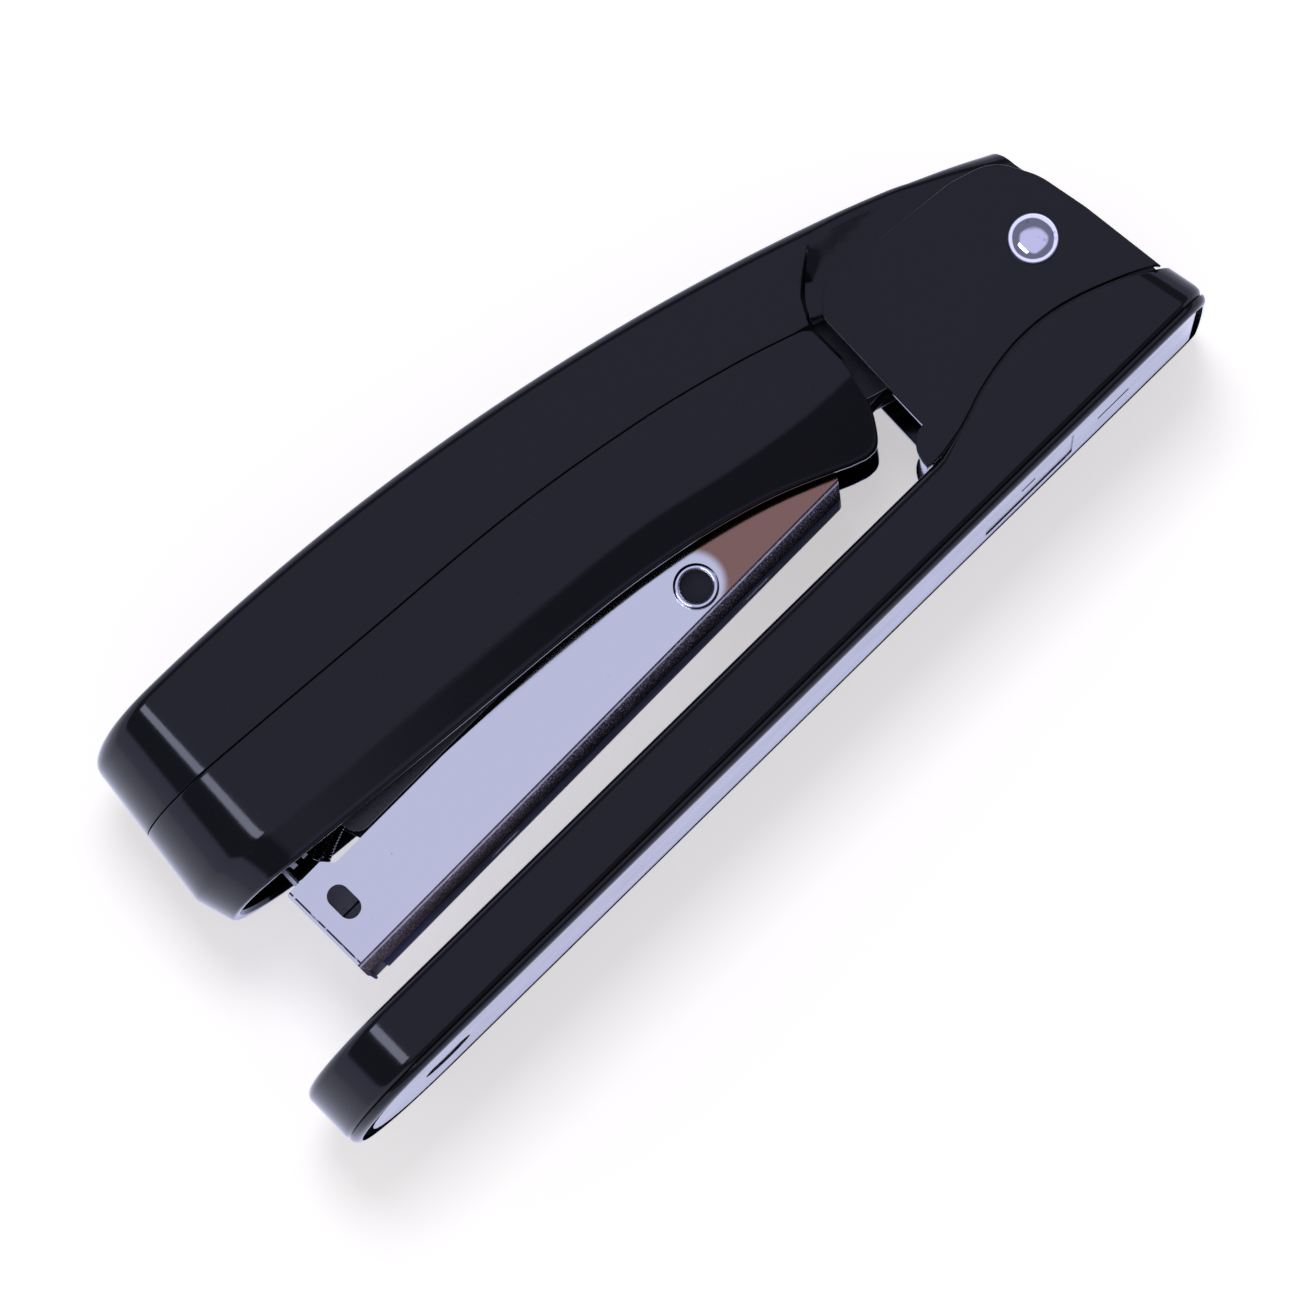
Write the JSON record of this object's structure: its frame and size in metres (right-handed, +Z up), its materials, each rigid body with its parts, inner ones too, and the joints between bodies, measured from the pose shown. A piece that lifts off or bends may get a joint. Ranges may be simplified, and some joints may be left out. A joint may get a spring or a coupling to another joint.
{
  "type": "stapler",
  "caption": "Desk stapler: long base with a turnable anvil, channel magazine and curved two-part handle hinged on one pin between two rear ears.",
  "frame": {"origin": "on the resting surface, under the middle of the base's length and width", "axes": "+X towards the hinge end, -X towards the nose where the staple leaves, +Y across the width, +Z up"},
  "size_m": [0.151, 0.0392, 0.0594],
  "materials": {
    "base_plastic": "glossy moulded, near black",
    "plate_plastic": "glossy moulded, near black",
    "housing_plastic": "glossy moulded, near black",
    "pin_steel": "bright plated",
    "cap_steel": "bright plated",
    "leaf_steel": "plain bright steel",
    "screw_left_steel": "plain bright steel",
    "screw_right_steel": "plain bright steel",
    "anvil_steel": "bright plated",
    "button_steel": "plain bright steel",
    "anvil_spring_steel": "plain bright steel",
    "cover_plastic": "glossy moulded, near black",
    "skirt_plastic": "glossy moulded, near black",
    "channel_chrome": "bright plated",
    "rail_steel": "plain bright steel",
    "carrier_black": "black satin",
    "eyelet_left_steel": "bright plated",
    "eyelet_right_steel": "bright plated",
    "sleeve_steel": "plain bright steel",
    "rod_steel": "plain bright steel",
    "anchor_plastic": "matte",
    "pusher_steel": "plain bright steel",
    "pusher_spring_steel": "plain bright steel",
    "frame_steel": "plain bright steel",
    "frame_screw_steel": "plain bright steel",
    "driver_steel": "plain bright steel",
    "rivet_left_steel": "plain bright steel",
    "rivet_right_steel": "plain bright steel",
    "handle_spring_steel": "plain bright steel",
    "arch_spring_steel": "plain bright steel"
  },
  "bodies": {
    "base": {"base_shell": "base_plastic", "bottom_plate": "plate_plastic", "hinge_housing": "housing_plastic", "hinge_pin": "pin_steel", "pin_cap": "cap_steel", "return_spring": "leaf_steel", "housing_screw_left": "screw_left_steel", "housing_screw_right": "screw_right_steel", "anvil_spring": "anvil_spring_steel"},
    "anvil_button": {"anvil_button": "button_steel"},
    "anvil": {"anvil_plate": "anvil_steel"},
    "magazine": {"magazine_channel": "channel_chrome", "staple_rail": "rail_steel", "rear_carrier": "carrier_black", "eyelet_left": "eyelet_left_steel", "eyelet_right": "eyelet_right_steel", "pivot_sleeve": "sleeve_steel", "pusher_rod": "rod_steel", "rod_anchor": "anchor_plastic", "pusher_spring": "pusher_spring_steel"},
    "pusher": {"pusher": "pusher_steel"},
    "handle": {"top_cover": "cover_plastic", "lower_skirt": "skirt_plastic", "handle_frame": "frame_steel", "frame_screw": "frame_screw_steel", "driver_blade": "driver_steel", "driver_rivet_left": "rivet_left_steel", "driver_rivet_right": "rivet_right_steel", "handle_spring": "handle_spring_steel", "arch_spring": "arch_spring_steel"}
  },
  "joints": [
    {"name": "magazine_swing", "type": "hinge", "parent": "base", "child": "magazine", "pos_m": [0.065, 0, 0.0208], "axis": [0, 1, 0], "range_deg": [-1.35, 60], "stiffness_Nm_per_rad": 3, "springref_deg": 1.72, "deforming": ["return_spring"]},
    {"name": "handle_swing", "type": "hinge", "parent": "magazine", "child": "handle", "pos_m": [0.065, 0, 0.0208], "axis": [0, 1, 0], "range_deg": [-3.7, 88], "stiffness_Nm_per_rad": 2, "springref_deg": 1.72, "deforming": ["handle_spring", "arch_spring"]},
    {"name": "pusher_slide", "type": "slide", "parent": "magazine", "child": "pusher", "axis": [0.9999, 0, 0.0166], "range_m": [0, 0.04], "stiffness_N_per_m": 20, "springref_m": -0.02, "deforming": ["pusher_spring"]},
    {"name": "anvil_press", "type": "slide", "parent": "base", "child": "anvil_button", "axis": [0, 0, 1], "range_m": [0, 0.0009], "stiffness_N_per_m": 800, "springref_m": -0.001, "deforming": ["anvil_spring"]},
    {"name": "anvil_turn", "type": "hinge", "parent": "anvil_button", "child": "anvil", "pos_m": [-0.0593, 0, 0.009], "axis": [0, 0, 1], "range_deg": [0, 180]}
  ]
}
